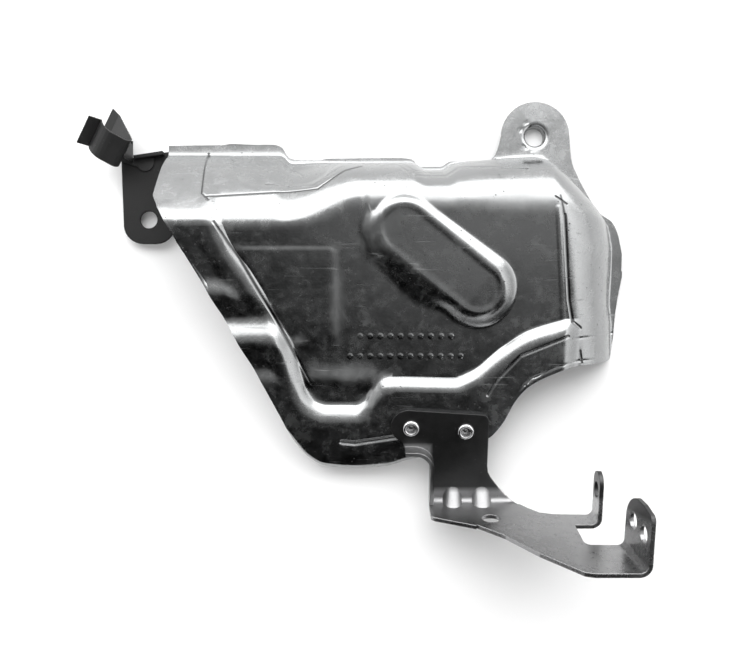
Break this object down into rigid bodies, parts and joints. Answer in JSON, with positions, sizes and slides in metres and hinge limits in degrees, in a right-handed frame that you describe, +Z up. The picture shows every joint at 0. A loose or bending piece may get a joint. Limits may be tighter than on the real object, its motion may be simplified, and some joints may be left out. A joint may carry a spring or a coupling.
{
  "type": "starter heat shield",
  "caption": "Pressed sheet-metal cover that keeps heat off a car's starter motor, with a riveted cable bracket, a screw lug, a small side bracket and a spring clip.",
  "frame": {"origin": "centre of the lug's hole at the lower mouth of its collar, level with the ground the shield lies on", "axes": "+X along the tunnel, from the open mouth towards the lug's end; +Y across it, from the cable bracket towards the lug; +Z up, along the lug's hole, out of the shield's outer side"},
  "size_m": [0.2231, 0.1802, 0.0728],
  "materials": {
    "shield_sheet": "bright pressed sheet, rubbed",
    "bracket_sheet": "satin galvanised",
    "rivet_metal": "satin",
    "black_sheet": "satin black",
    "spring_steel": "dark phosphate"
  },
  "bodies": {
    "root": {"heat_shield": "shield_sheet", "lower_bracket": "bracket_sheet", "rivet_left": "rivet_metal", "rivet_right": "rivet_metal", "left_bracket": "black_sheet", "spring_clip": "spring_steel"}
  },
  "joints": []
}
